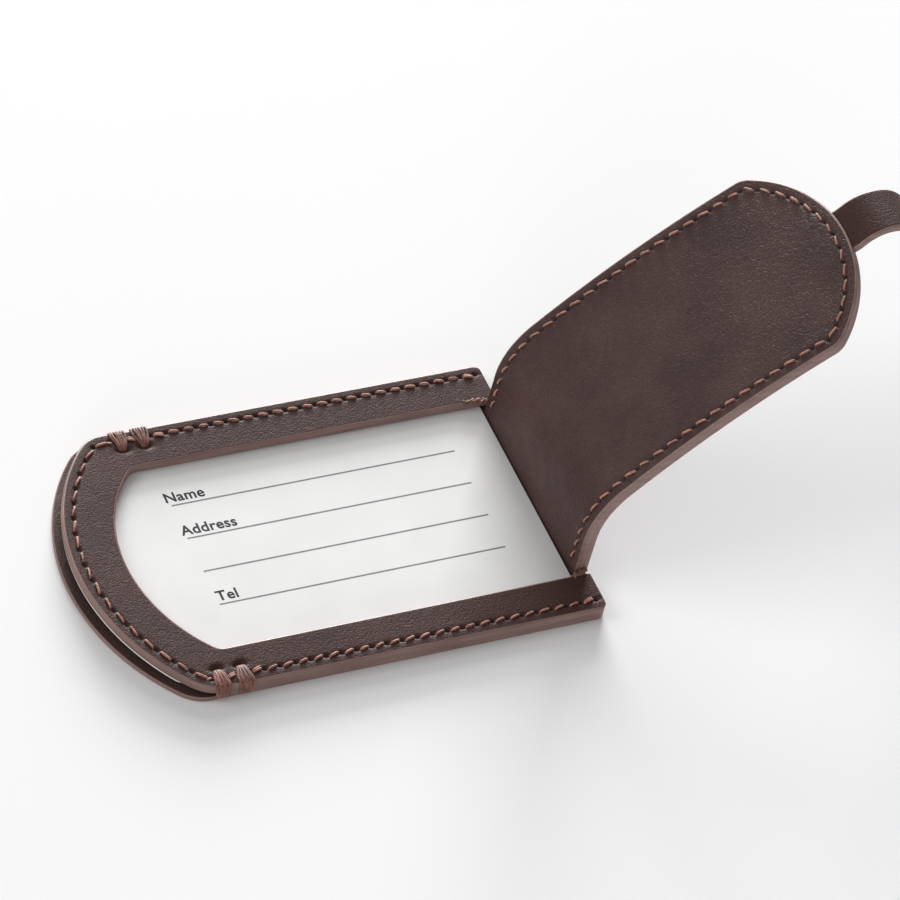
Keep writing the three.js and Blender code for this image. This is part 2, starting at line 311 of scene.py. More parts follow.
LEATHER = pebbled_leather("pebbled_leather", colour(66, 47, 45), colour(80, 59, 56), 1.1, 0.46, 0.20)
FRAME_LEATHER = pebbled_leather("frame_leather", colour(63, 43, 40), colour(71, 50, 47), 0.5, 0.5, 0.11)
UNDERSIDE = pebbled_leather("underside_leather", colour(68, 51, 48), colour(78, 60, 56), 0.8, 0.6)
EDGE = painted_edge("edge_paint", colour(118, 91, 85), colour(141, 112, 105))
COPPER = waxed_thread("waxed_thread", colour(130, 78, 64), colour(190, 130, 110))
BROWN = waxed_thread("waxed_thread_brown", colour(58, 36, 30), colour(146, 88, 70))
# painted shade: near-black ink for the discs in the needle holes, in place of the shadow inside them
HOLE_SHADE = print_ink("painted_hole_shade", 26)
CARD = plain_card("card_stock")
LINES = print_ink("grey_ink", 118)
LETTERS = print_ink("black_ink", 10)
BRASS = turned_brass("turned_brass")


# ---------------------------------------------------------------- mesh building

def finish_mesh(name, vertices, faces, materials, face_materials=None, angle=40):
    """One object from points in millimetres, shaded smooth except over sharp edges."""
    mesh = bpy.data.meshes.new(name)
    mesh.from_pydata((np.asarray(vertices) * MM).tolist(), [], faces)
    for material in materials:
        mesh.materials.append(material)
    if face_materials is not None:
        mesh.polygons.foreach_set("material_index", face_materials)
    mesh.validate()
    mesh.update()
    mesh.shade_smooth()
    mesh.set_sharp_from_angle(angle=math.radians(angle))
    piece = bpy.data.objects.new(name, mesh)
    bpy.context.scene.collection.objects.link(piece)
    return piece


def spaced(low, high, step):
    """Evenly spaced values from low to high, about one step apart."""
    return np.linspace(low, high, max(2, int(math.ceil(abs(high - low) / step)) + 1))


class Outline:
    """A tongue: straight sides, small shoulders and a round tip towards -X.

    ring(inset) follows it at a distance, always with the same number of points, from the near side's
    square end round the tip to the far side's square end.
    """

    def __init__(self, square_x, tip_x, half_width, radius, corner, step=STEP):
        self.square_x, self.tip_x, self.half_width = square_x, tip_x, half_width
        self.radius, self.corner = radius, corner
        x_fillet, shoulder = self._fillet(0.0)[:2]
        turn = math.pi / 2 - shoulder
        self.counts = (
            max(4, int((square_x - x_fillet) / step)),
            max(10, int(1.6 * corner * turn / step)),
            max(20, int(radius * shoulder / step)) * 2,
        )

    def _fillet(self, inset):
        radius = self.radius - inset
        corner = max(self.corner - inset, 0.25)
        rise = self.half_width - inset - corner
        shoulder = math.asin(rise / (radius - corner))
        x_fillet = self.tip_x + self.radius - math.sqrt((radius - corner) ** 2 - rise ** 2)
        return x_fillet, shoulder, radius, corner, rise

    def ring(self, inset=0.0):
        x_fillet, shoulder, radius, corner, rise = self._fillet(inset)
        sides, turn, end = self.counts
        t = np.linspace(0, 1, sides + 1)[:-1]
        ease = self.square_x + (x_fillet - self.square_x) * t
        line = np.stack([ease, np.full_like(t, -rise - corner)], 1)
        angle = np.linspace(-math.pi / 2, -math.pi + shoulder, turn + 1)[:-1]
        bend = np.stack([x_fillet + corner * np.cos(angle), -rise + corner * np.sin(angle)], 1)
        angle = np.linspace(-math.pi + shoulder, -math.pi, end // 2 + 1)
        arc = np.stack([self.tip_x + self.radius + radius * np.cos(angle), radius * np.sin(angle)], 1)
        near = np.concatenate([line, bend, arc])
        far = near[-2::-1] * [1, -1]
        return np.concatenate([near, far])


def walk_line(points, pitch, start, end):
    """Points at one pitch along a polyline, from half a pitch in, with the direction there."""
    steps = np.linalg.norm(np.diff(points, axis=0), axis=1)
    along = np.concatenate([[0], np.cumsum(steps)])
    places = np.arange(start + 0.5 * pitch, min(end, along[-1]) + 1e-6, pitch)
    at = np.stack([np.interp(places, along, points[:, i]) for i in range(points.shape[1])], 1)
    ahead = np.stack([np.interp(places + 0.05, along, points[:, i]) for i in range(points.shape[1])], 1)
    behind = np.stack([np.interp(places - 0.05, along, points[:, i]) for i in range(points.shape[1])], 1)
    way = ahead - behind
    return at, way / np.linalg.norm(way, axis=1)[:, None]


def rounding(depth, count=4):
    """(inset, drop) pairs of a quarter-round edge, from the side to the flat."""
    angles = np.linspace(0, math.pi / 2, count + 1)
    return [(depth * (1 - math.cos(a)), depth * (1 - math.sin(a))) for a in angles]


def square_end(points, low, high, square_x, depth=EDGE_ROUND):
    """Rounds the cut at the square end: heights close in towards the middle of the thickness."""
    gap = np.clip((square_x - points[:, 0]) / depth, 0, 1)
    pinch = depth * (1 - np.sqrt(1 - (1 - gap) ** 2))
    points[:, 2] = np.clip(points[:, 2], low + pinch, high - pinch)


def round_corners(points, square_x, half_width, radius=1.8, margin=1.0):
    """Rounds the two corners at the square end, in plan, by easing what is near them inwards."""
    back = np.clip(points[:, 0] - (square_x - radius), 0, radius)
    cut = radius - np.sqrt(radius ** 2 - back ** 2)
    core = half_width - radius - margin
    reach = np.clip(np.abs(points[:, 1]) - core, 0, None)
    share = 1 - cut / (radius + margin)
    points[:, 1] = np.sign(points[:, 1]) * (np.minimum(np.abs(points[:, 1]), core) + reach * share)


def dimple(points, holes, depth, long, wide):
    """Presses an oval hollow into a surface at each hole: (x, y, direction x, direction y)."""
    for x, y, dx, dy in holes:
        near = np.nonzero((np.abs(points[:, 0] - x) < 3) & (np.abs(points[:, 1] - y) < 3))[0]
        rx, ry = points[near, 0] - x, points[near, 1] - y
        along = (rx * dx + ry * dy) / long
        across = (-rx * dy + ry * dx) / wide
        points[near, 2] -= depth * np.exp(-(along ** 2 + across ** 2))


def flat(points):
    return points


def lifted(points):
    """The round lip's rest shape: it rises past the bar tacks, eased at the start."""
    past = np.clip(LIP_X + LIP_EASE / 2 - points[:, 0], 0, None)
    rise = np.where(past < LIP_EASE, past ** 2 / (2 * LIP_EASE), past - LIP_EASE / 2)
    moved = points.copy()
    moved[:, 2] += LIP_SLOPE * rise
    return moved


def closed_sweep(name, rings, heights, paint, materials, place, ends, press=None):
    """A piece whose closed cross-section runs along an outline, capped at both square ends."""
    count = len(rings[0])
    points = np.concatenate([
        np.column_stack([ring, np.full(count, height)]) for ring, height in zip(rings, heights)
    ])
    if press:
        press(points)
    if ends:
        square_end(points, *ends)
        round_corners(points, SQUARE_X, HALF_WIDTH)
    total = len(rings)
    faces, marks = [], []
    for k in range(total):
        a, b = k * count, ((k + 1) % total) * count
        faces += [(a + i, a + i + 1, b + i + 1, b + i) for i in range(count - 1)]
        marks += [paint[k]] * (count - 1)
    faces.append([k * count for k in range(total)])
    faces.append([k * count + count - 1 for k in reversed(range(total))])
    marks += [1, 1]
    return finish_mesh(name, place(points), faces, materials, marks)


def plate(name, outline, loop, paint, materials, place, ends=None, press=None, across=24):
    """A solid plate: rings from the underside round the edge to the top, and both middles filled.

    loop is a list of (inset, height) from the innermost underside ring to the innermost top ring.
    """
    count = len(outline.ring())
    half = count // 2
    rings = [outline.ring(inset) for inset, _ in loop]
    blocks = [np.column_stack([ring, np.full(count, height)]) for ring, (_, height) in zip(rings, loop)]
    faces, marks = [], []
    total = len(loop)
    for k in range(total - 1):
        a, b = k * count, (k + 1) * count
        faces += [(a + i, b + i, b + i + 1, a + i + 1) for i in range(count - 1)]
        marks += [paint[k]] * (count - 1)
    start = total * count
    edges = {}
    for k, flip in ((0, False), (total - 1, True)):
        ring = blocks[k]
        near, far = ring[:half], ring[:half:-1]
        share = np.linspace(0, 1, across + 1)[1:-1]
        fill = near[:, None] + (far - near)[:, None] * share[None, :, None]
        blocks.append(fill.reshape(-1, 3))

        def index(row, column, base=k * count, begin=start):
            if column == 0:
                return base + row
            if column == across:
                return base + count - 1 - row
            return begin + row * (across - 1) + column - 1

        for row in range(half - 1):
            for column in range(across):
                quad = (index(row, column), index(row + 1, column),
                        index(row + 1, column + 1), index(row, column + 1))
                faces.append(quad[::-1] if flip else quad)
        tip = k * count + half
        for column in range(across):
            corner = (index(half - 1, column), tip, index(half - 1, column + 1))
            faces.append(corner[::-1] if flip else corner)
        marks += [0] * (half * across)
        edges[k] = [index(0, column) for column in range(across + 1)]
        start += len(fill) * (across - 1)
    near_column = [k * count for k in range(total)]
    far_column = [k * count + count - 1 for k in range(total)]
    faces.append(edges[0][::-1] + near_column[1:-1] + edges[total - 1] + far_column[-2:0:-1])
    marks.append(1)
    points = np.concatenate(blocks)
    if press:
        press(points)
    if ends:
        square_end(points, *ends)
        round_corners(points, SQUARE_X, HALF_WIDTH)
    return finish_mesh(name, place(points), faces, materials, marks)


def tube(path, radii, sides=8):
    """A closed tube along a path, as (points, faces)."""
    path = np.asarray(path, float)
    way = np.gradient(path, axis=0)
    way /= np.linalg.norm(way, axis=1)[:, None]
    up = np.array([0.0, 0.0, 1.0]) if abs(way[0][2]) < 0.9 else np.array([1.0, 0.0, 0.0])
    points = []
    for centre, forward, radius in zip(path, way, radii):
        side = np.cross(forward, up)
        side /= np.linalg.norm(side)
        up = np.cross(side, forward)
        angles = np.arange(sides) * 2 * math.pi / sides
        points.append(centre + radius * (np.cos(angles)[:, None] * side + np.sin(angles)[:, None] * up))
    points = np.concatenate(points)
    faces = [
        (r * sides + s, r * sides + (s + 1) % sides, (r + 1) * sides + (s + 1) % sides, (r + 1) * sides + s)
        for r in range(len(path) - 1) for s in range(sides)
    ]
    faces.append(tuple(reversed(range(sides))))
    faces.append(tuple((len(path) - 1) * sides + s for s in range(sides)))
    return points, faces


def joined(name, parts, material, place, angle=80):
    """One object from many small closed meshes."""
    points, faces, start = [], [], 0
    for part_points, part_faces in parts:
        points.append(part_points)
        faces += [tuple(start + i for i in face) for face in part_faces]
        start += len(part_points)
    return finish_mesh(name, place(np.concatenate(points)), faces, [material], angle=angle)


def stitch(centre, way, length, surface, lean=0.22, radius=THREAD):
    """A stitch: it rises out of one hole, lies slanted on the leather and dives into the next."""
    cos, sin = math.cos(lean), math.sin(lean)
    forward = np.array([way[0] * cos - way[1] * sin, way[0] * sin + way[1] * cos])
    t = np.linspace(-1, 1, 11)
    swell = np.sqrt(np.clip(1 - np.abs(t) ** 5, 0, 1))
    flatness = centre[None, :2] + forward[None] * (t * length / 2)[:, None]
    height = surface + (0.20 * swell - 0.45 * (1 - swell))
    jitter = 1 + 0.07 * RNG.standard_normal()
    return tube(np.column_stack([flatness, height]), radius * jitter * (0.62 + 0.38 * swell))


def run_of_stitches(centres, ways, length, surface, lean):
    """Stitches along a seam, each a little off the others in slant and length."""
    parts = []
    for centre, way in zip(centres, ways):
        wobble = 0.05 * RNG.standard_normal()
        stretch = length * (1 + 0.06 * RNG.standard_normal())
        parts.append(stitch(centre, way, stretch, surface, lean + wobble))
    return parts


# ---------------------------------------------------------------- outlines and seams

FRAME_OUTER = Outline(SQUARE_X, TIP_X, HALF_WIDTH, END_RADIUS, SHOULDER)
WINDOW = Outline(SQUARE_X, WINDOW_TIP_X, HALF_WINDOW, WINDOW_RADIUS, WINDOW_CORNER)
WINDOW.counts = FRAME_OUTER.counts
BACK = Outline(SQUARE_X, BACK_TIP_X + BACK_TRIM, HALF_WIDTH, BACK_RADIUS, SHOULDER)
CARD_OUTLINE = Outline(
    CARD_HIGH[0], TIP_X + CARD_INSET, CARD_HIGH[1], END_RADIUS - CARD_INSET, CARD_CORNER, 2 * STEP,
)


def sleeve_seam():
    """Stitch centres and directions: near rail, lip and far rail, by the pitch of each."""
    path = FRAME_OUTER.ring(SEAM_INSET)
    steps = np.linalg.norm(np.diff(path, axis=0), axis=1)
    along = np.concatenate([[0], np.cumsum(steps)])
    total = along[-1]
    rail_start = SQUARE_X - RAIL_SEAM_END
    sides = (NEAR_TACKS, FAR_TACKS)
    near_end, far_end = (SQUARE_X - (spots[1] + TACK_CLEAR) for spots in sides)
    lip_start, lip_end = (SQUARE_X - (spots[0] - TACK_CLEAR) for spots in sides)
    near = walk_line(path, RAIL_PITCH, rail_start, near_end)
    lip = walk_line(path, LIP_PITCH, lip_start, total - lip_end)
    far = walk_line(path[::-1], RAIL_PITCH, rail_start, far_end)
    return near, lip, far


def holes_between(centres, ways, pitch):
    """The needle holes at both ends of each stitch, as (x, y, direction) rows."""
    spots = np.concatenate([centres - ways * pitch / 2, centres[-1:] + ways[-1:] * pitch / 2])
    turns = np.concatenate([ways, ways[-1:]])
    return np.column_stack([spots, turns])


NEAR_SEAM, LIP_SEAM, FAR_SEAM = sleeve_seam()
SLEEVE_HOLES = np.concatenate([
    holes_between(*NEAR_SEAM, RAIL_PITCH),
    holes_between(*LIP_SEAM, LIP_PITCH),
    holes_between(*FAR_SEAM, RAIL_PITCH),
])
TACK_HOLES = [
    (x, side * (HALF_WIDTH - TACK_REACH - 0.3), 1.0, 0.0)
    for side, spots in ((-1, NEAR_TACKS), (1, FAR_TACKS)) for x in spots
]


# ---------------------------------------------------------------- sleeve

def band_rings(top, bottom, round_top, round_bottom, channel=0.0):
    """The frame's closed cross-section: up the outer edge, across the top, down the window's edge.

    Returns the rings, heights and material marks (0 leather, 1 edge paint).
    """
    rings, heights, paint = [], [], []

    def push(ring, height, mark):
        rings.append(ring)
        heights.append(height)
        paint.append(mark)

    reach = 4.6
    outer_inner = FRAME_OUTER.ring(reach)
    inner_outer = WINDOW.ring(-1.2)
    for inset, drop in reversed(rounding(round_bottom, 2)):
        push(FRAME_OUTER.ring(inset), bottom + drop, 1)
    for inset, drop in rounding(round_top):
        push(FRAME_OUTER.ring(inset), top - drop, 1 if inset < round_top * 0.9 else 0)
    for inset in spaced(round_top + 0.25, reach, 0.24):
        dip = channel * math.exp(-((inset - SEAM_INSET) / 0.55) ** 2)
        push(FRAME_OUTER.ring(inset), top - dip, 0)
    for share in np.linspace(0, 1, 7)[1:-1]:
        push(outer_inner + (inner_outer - outer_inner) * share, top, 0)
    for inset in (1.2, 0.8):
        push(WINDOW.ring(-inset), top, 0)
    for inset, drop in reversed(rounding(round_top)):
        push(WINDOW.ring(-inset), top - drop, 1)
    for inset, drop in rounding(round_bottom, 2):
        push(WINDOW.ring(-inset), bottom + drop, 1 if drop > 0.01 else 0)
    for share in np.linspace(0, 1, 5):
        push(inner_outer + (outer_inner - inner_outer) * share, bottom, 0)
    return rings, heights, paint


def press_frame(points):
    top = points[:, 2] > TOP_Z - 0.5
    surface = points[top]
    dimple(surface, SLEEVE_HOLES, 0.75, 0.42, 0.30)
    dimple(surface, TACK_HOLES, 0.9, 1.2, 0.55)
    points[top] = surface


def make_frame():
    rings, heights, paint = band_rings(TOP_Z, FACE_Z, EDGE_ROUND, 0.03, channel=0.10)
    face = closed_sweep("frame_face", rings, heights, paint, [FRAME_LEATHER, EDGE], lifted,
                        (FACE_Z - 1, TOP_Z, SQUARE_X), press_frame)
    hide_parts("near_rail_face", "far_rail_face", "lip_face")
    rings, heights, paint = band_rings(FACE_Z - 0.01, LINING_Z, 0.03, 0.15)
    lining = closed_sweep("frame_lining", rings, heights, paint, [UNDERSIDE, EDGE], lifted,
                          (LINING_Z - 1, FACE_Z + 1, SQUARE_X, 0.1))
    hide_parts("near_rail_lining", "far_rail_lining", "lip_lining")
    for piece in (face, lining):
        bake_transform(piece)


def make_spacers():
    """The lining's full-depth margins under the sewn sides, which close the sleeve's edges."""
    for side in (-1, 1):
        xs = spaced(SPACER_LOW, SQUARE_X, 0.3)
        outer, top = HALF_WIDTH - 0.02, LINING_Z + 0.05
        profile = [(SPACER_INNER, BACK_Z), (outer, BACK_Z), (outer, top), (SPACER_INNER, top)]
        points = np.array([(x, side * y, z) for x in xs for y, z in profile])
        round_corners(points, SQUARE_X, HALF_WIDTH)
        faces, marks = [], []
        for i in range(len(xs) - 1):
            for k in range(4):
                quad = (4 * i + k, 4 * i + (k + 1) % 4, 4 * (i + 1) + (k + 1) % 4, 4 * (i + 1) + k)
                faces.append(quad if side > 0 else quad[::-1])
                marks.append(1 if k == 1 else 0)
        ends = [tuple(reversed(range(4))), tuple(4 * (len(xs) - 1) + k for k in range(4))]
        faces += ends if side > 0 else [end[::-1] for end in ends]
        marks += [1, 1]
        piece = finish_mesh(("near" if side < 0 else "far") + "_side_spacer", points, faces,
                            [UNDERSIDE, EDGE], marks)
        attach(piece, "sleeve")


def back_loop(low, high, round_low, round_high, inner=4.2):
    """The back panel's section from its underside's middle round the edge to its top's middle."""
    loop, paint = [], []
    for inset in spaced(inner, round_low + 0.25, 0.28):
        loop.append((inset, low))
        paint.append(0)
    for inset, drop in reversed(rounding(round_low)):
        loop.append((inset, low + drop))
        paint.append(1)
    for inset, drop in rounding(round_high):
        loop.append((inset, high - drop))
        paint.append(1)
    paint[-1] = 0
    for inset in (round_high + 0.4, inner):
        loop.append((inset, high))
        paint.append(0)
    return loop, paint[:-1]


def press_underside(points):
    """A shallow groove and needle holes along the sewn sides of the underside."""
    low = points[:, 2] < 0.1
    surface = points[low]
    sewn = surface[:, 0] > SEWN_LOW
    inset = HALF_WIDTH - np.abs(surface[:, 1])
    surface[:, 2] += np.where(sewn, 0.26 * np.exp(-((inset - SEAM_INSET) / 0.5) ** 2), 0)
    surface[:, 2] *= -1
    seams = np.concatenate([holes_between(*NEAR_SEAM, RAIL_PITCH), holes_between(*FAR_SEAM, RAIL_PITCH)])
    dimple(surface, seams, 0.15, 0.4, 0.4)
    surface[:, 2] *= -1
    points[low] = surface


def make_back():
    loop, paint = back_loop(0.0, BACK_PLY_Z, 0.22, 0.04)
    outer = plate("back_outer_ply", BACK, loop, paint, [LEATHER, EDGE], flat,
                  (0.0, BACK_PLY_Z + 1, SQUARE_X, 0.2), press_underside)
    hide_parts("back_panel_outer")
    loop, paint = back_loop(BACK_PLY_Z, BACK_Z, 0.04, 0.2)
    inner = plate("back_lining_ply", BACK, loop, paint, [UNDERSIDE, EDGE], flat,
                  (BACK_PLY_Z - 1, BACK_Z + 1, SQUARE_X, 0.1))
    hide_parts("back_panel_lining")
    for piece in (outer, inner):
        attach(piece, "sleeve")


# ---------------------------------------------------------------- card

PRINT_LEFT = -23.6
PRINT_RIGHT = 36.4
PRINT_ROWS = (13.5, 5.1, -3.3, -11.65)
LABELS = (("Name", 0, -24.5), ("Address", 1, -24.2), ("Tel", 3, -23.5))
LABEL_SIZE = 3.3
RULE = 0.17
CARD_TOP = CARD_HIGH[2]


def card_rest(points):
    """The card lies flat and bows up under the lip at its round end."""
    moved = lifted(points)
    past = np.clip(-36 - points[:, 0], 0, None) / 12
    moved[:, 2] += 0.06 * past
    return moved


def make_card():
    low = CARD_LOW[2]
    loop = [(3.0, low), (0.5, low), (0.03, low), (0.0, low + 0.04), (0.0, CARD_TOP - 0.04),
            (0.03, CARD_TOP), (0.5, CARD_TOP), (3.0, CARD_TOP)]
    card = plate("name_card", CARD_OUTLINE, loop, [0] * 7, [CARD, CARD], card_rest, across=60)
    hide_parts("id_card")
    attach(card, "card")
    height = CARD_TOP + 0.012
    parts = []
    ends = ((PRINT_LEFT, -RULE), (PRINT_RIGHT, -RULE), (PRINT_RIGHT, RULE), (PRINT_LEFT, RULE))
    sides = [(3, 2, 1, 0), (4, 5, 6, 7), (0, 1, 5, 4), (1, 2, 6, 5), (2, 3, 7, 6), (3, 0, 4, 7)]
    for y in PRINT_ROWS:
        box = [(x, y + dy, z) for z in (height - 0.01, height) for x, dy in ends]
        parts.append((np.array(box), sides))
    rules = joined("card_rules", parts, LINES, flat)
    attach(rules, "card")
    for word, row, x in LABELS:
        text = bpy.data.curves.new(f"label_{word.lower()}", "FONT")
        text.body = word
        text.size = LABEL_SIZE * MM
        text.offset = 0.072 * MM
        text.extrude = 0.006 * MM
        text.space_character = 1.05
        text.materials.append(LETTERS)
        label = bpy.data.objects.new(f"label_{word.lower()}", text)
        bpy.context.scene.collection.objects.link(label)
        label.location = (x * MM, (PRINT_ROWS[row] + 0.9) * MM, height * MM)
        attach(label, "card")


# ---------------------------------------------------------------- flap

def walk(x, z, heading, moves, step=0.4):
    """Stations (x, z, heading) along straight runs (length) and arcs (turn, radius)."""
    stations = [(x, z, heading)]
    for turn, size in moves:
        length = abs(turn) * size if turn else size
        count = max(2, int(length / step))
        for _ in range(count):
            x, z, heading = stations[-1]
            part = turn / count
            chord = 2 * size * math.sin(abs(part) / 2) if turn else size / count
            middle = heading + part / 2
            stations.append((x + chord * math.cos(middle), z + chord * math.sin(middle), heading + part))
    return np.array(stations)


FLAP_LINE = walk(FLAP_X, FOLD_Z, math.pi / 2, [
    (0, FOOT_TOP - FOLD_Z), (-BEND, BEND_RADIUS), (-PANEL_BEND, PANEL_RADIUS), (0, TIP_RUN),
])


def measured(line):
    steps = np.hypot(*np.diff(line[:, :2], axis=0).T)
    return np.concatenate([[0], np.cumsum(steps)])


FLAP_ALONG = measured(FLAP_LINE)
FLAP_LENGTH = FLAP_ALONG[-1]


def on_line(line, along, distance, y, height):
    """Points at a distance along a line, at a height over it (to the left of its heading)."""
    x = np.interp(distance, along, line[:, 0])
    z = np.interp(distance, along, line[:, 1])
    heading = np.interp(distance, along, line[:, 2])
    return np.column_stack([x - height * np.sin(heading), y, z + height * np.cos(heading)])


def on_flap(points):
    """Flat flap points to their place. Flat X is the distance back from the tip."""
    distance = FLAP_LENGTH - points[:, 0]
    past = np.clip(distance - FLAP_LENGTH, 0, None)
    placed = on_line(FLAP_LINE, FLAP_ALONG, distance, points[:, 1], points[:, 2])
    heading = FLAP_LINE[-1, 2]
    placed[:, 0] += past * math.cos(heading)
    placed[:, 2] += past * math.sin(heading)
    return placed


FLAP_OUTLINE = Outline(FLAP_LENGTH - (FOOT_SPLIT - FOLD_Z), 0.0, HALF_FLAP, FLAP_END_RADIUS, FLAP_CORNER)


def flap_seam():
    path = FLAP_OUTLINE.ring(SEAM_INSET)
    foot = np.array([[FLAP_LENGTH - 3.2, path[0, 1]]])
    path = np.concatenate([foot, path, foot * [1, -1]])
    length = measured(np.column_stack([path, np.zeros(len(path))]))[-1]
    count = round(length / FLAP_PITCH)
    return walk_line(path, length / count, 0, length)


FLAP_STITCHES = flap_seam()
FLAP_HOLES = holes_between(*FLAP_STITCHES, FLAP_PITCH)
STRAP_PUSH = 0.35


def press_flap(top):
    def press(points):
        """Needle holes on the shown side, and a low rise over the strap's root; the seam groove comes from
        the ply's loop.
        """
        shown = points[:, 2] > -0.5 if top else points[:, 2] < -2.2
        surface = points[shown]
        if not top:
            surface[:, 2] = -2 * PLY - surface[:, 2]
        dimple(surface, FLAP_HOLES, 0.7, 0.42, 0.30)
        if not top:
            surface[:, 2] = -2 * PLY - surface[:, 2]
        points[shown] = surface
        over = np.exp(-(points[:, 1] / 7.5) ** 4) * np.exp(-np.clip(points[:, 0] - 2, 0, None) ** 2 / 60)
        points[:, 2] += (STRAP_PUSH if top else -STRAP_PUSH) * over
    return press


def ply_loop(low, high, round_low, round_high, groove_low, groove_high, inner=4.4):
    loop, paint = [], []

    def groove(inset, depth):
        return depth * math.exp(-((inset - SEAM_INSET) / 0.55) ** 2)

    for inset in spaced(inner, round_low + 0.3, 0.26):
        loop.append((inset, low + groove(inset, groove_low)))
        paint.append(0)
    for inset, drop in reversed(rounding(round_low)):
        loop.append((inset, low + drop))
        paint.append(1)
    for inset, drop in rounding(round_high):
        loop.append((inset, high - drop))
        paint.append(1)
    paint[-1] = 0
    for inset in spaced(round_high + 0.3, inner, 0.26):
        loop.append((inset, high - groove(inset, groove_high)))
        paint.append(0)
    return loop, paint[:-1]


def make_foot(name, low, high, round_low, round_high, node, press):
    """The flap's foot: a band from the crease to the start of the bend."""
    loop, _ = ply_loop(low, high, round_low, round_high, *((0, 0.1) if high == 0 else (0.1, 0)))
    half = [(HALF_FLAP - inset, z) for inset, z in loop]
    across = spaced(-half[0][0], half[0][0], 1.8)[1:-1]
    section = [(-y, z) for y, z in half] + [(y, half[-1][1]) for y in across]
    section += [(y, z) for y, z in half[::-1]] + [(y, half[0][1]) for y in across[::-1]]
    outer = {i for i, (y, _) in enumerate(section) if abs(y) > HALF_FLAP - 0.35}
    xs = spaced(FLAP_LENGTH, FLAP_OUTLINE.square_x, 0.3)
    points = np.array([(x, y, z) for x in xs for y, z in section])
    press(points)
    size = len(section)
    faces, marks = [], []
    for i in range(len(xs) - 1):
        for k in range(size):
            j = (k + 1) % size
            faces.append((i * size + k, i * size + j, (i + 1) * size + j, (i + 1) * size + k))
            marks.append(1 if k in outer and j in outer else 0)
    faces.append(tuple(reversed(range(size))))
    faces.append(tuple((len(xs) - 1) * size + k for k in range(size)))
    marks += [1, 1]
    foot = finish_mesh(name, on_flap(points), faces, [LEATHER, EDGE], marks)
    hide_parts(node)
    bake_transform(foot)


def bend_across(piece):
    """Bakes the flap piece's placed shape into its mesh; it adds no turn or bend of its own."""
    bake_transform(piece)


def make_flap():
    plies = (
        ("face", -PLY, 0.0, 0.03, 0.42, 0.0, 0.10),
        ("back", -2 * PLY, -PLY, 0.42, 0.03, 0.10, 0.0),
    )
    for side, low, high, round_low, round_high, groove_low, groove_high in plies:
        press = press_flap(side == "face")
        loop, paint = ply_loop(low, high, round_low, round_high, groove_low, groove_high)
        panel = plate(f"flap_{side}_ply", FLAP_OUTLINE, loop, paint, [LEATHER, EDGE], on_flap, press=press)
        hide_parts(f"flap_{side}")
        bend_across(panel)
        make_foot(f"flap_{side}_foot", low, high, round_low, round_high, f"flap_foot_{side}", press)


# ---------------------------------------------------------------- thread

def make_seams():
    near, lip, far = NEAR_SEAM, LIP_SEAM, FAR_SEAM
    rails = (("near", near, 0.24), ("far", far, -0.24))
    for side, (centres, ways), lean in rails:
        parts = run_of_stitches(centres, ways, RAIL_PITCH * 0.64, TOP_Z, lean)
        seam_y = centres[0, 1]
        inward = -math.copysign(1.0, seam_y)
        tacks = NEAR_TACKS if side == "near" else FAR_TACKS
        between = sum(tacks) / 2
        extra = (
            (between, 0.22, 1.7), (between, -0.2, 1.5), (centres[-1, 0], 0.36, 2.1),
            (centres[0, 0], 0.34, 2.0), (tacks[0] - 2.3, 0.1, 1.2),
        )
        for x, y_shift, length in extra:
            spot = np.array([x, seam_y + y_shift * inward])
            parts.append(stitch(spot, ways[0], length, TOP_Z + 0.04, lean * 1.3))
        under = run_of_stitches(centres, ways, RAIL_PITCH * 0.8, -0.02, -lean)
        for points, _ in under:
            points[:, 2] = np.clip(0.36 - 0.7 * (points[:, 2] + 0.02), 0.03, None)
        parts += [(points, [face[::-1] for face in faces]) for points, faces in under]
        seam = joined(f"{side}_rail_thread", parts, COPPER, flat)
        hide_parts(f"{side}_rail_seam")
        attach(seam, "sleeve")
    centres, ways = lip
    parts = run_of_stitches(centres, ways, LIP_PITCH * 0.66, TOP_Z, -0.14)
    seam = joined("lip_thread", parts, COPPER, lifted)
    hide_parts("lip_seam")
    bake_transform(seam)
    centres, ways = FLAP_STITCHES
    parts = run_of_stitches(centres, ways, FLAP_PITCH * 0.64, 0.0, 0.2)
    back = run_of_stitches(centres, ways, FLAP_PITCH * 0.64, 0.0, -0.2)
    for points, faces in back:
        points[:, 2] = -2 * PLY - points[:, 2]
        parts.append((points, [face[::-1] for face in faces]))
    upper = [part for part in parts if part[0][:, 0].mean() < FLAP_OUTLINE.square_x]
    lower = [part for part in parts if part[0][:, 0].mean() >= FLAP_OUTLINE.square_x]
    seam = joined("flap_thread", upper, COPPER, on_flap)
    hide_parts("flap_seam")
    bend_across(seam)
    foot = joined("flap_foot_thread", lower, COPPER, on_flap)
    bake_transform(foot)


def hole_shade_discs(name, holes, surface, place):
    """Painted shade in the needle holes: near-black discs sunk in their dimples, standing in for the shadow
    inside each hole.
    """
    parts = []
    ring = np.arange(10) * 2 * math.pi / 10
    for x, y, dx, dy in holes:
        along, across = 0.30 * np.cos(ring), 0.21 * np.sin(ring)
        mouth = [(x + a * dx - c * dy, y + a * dy + c * dx) for a, c in zip(along, across)]
        low = [(px, py, surface - 0.6) for px, py in mouth]
        high = [(px, py, surface - 0.42) for px, py in mouth]
        faces = [tuple(reversed(range(10))), tuple(range(10, 20))]
        faces += [(k, (k + 1) % 10, 10 + (k + 1) % 10, 10 + k) for k in range(10)]
        parts.append((np.array(low + high), faces))
    return joined(name, parts, HOLE_SHADE, place)
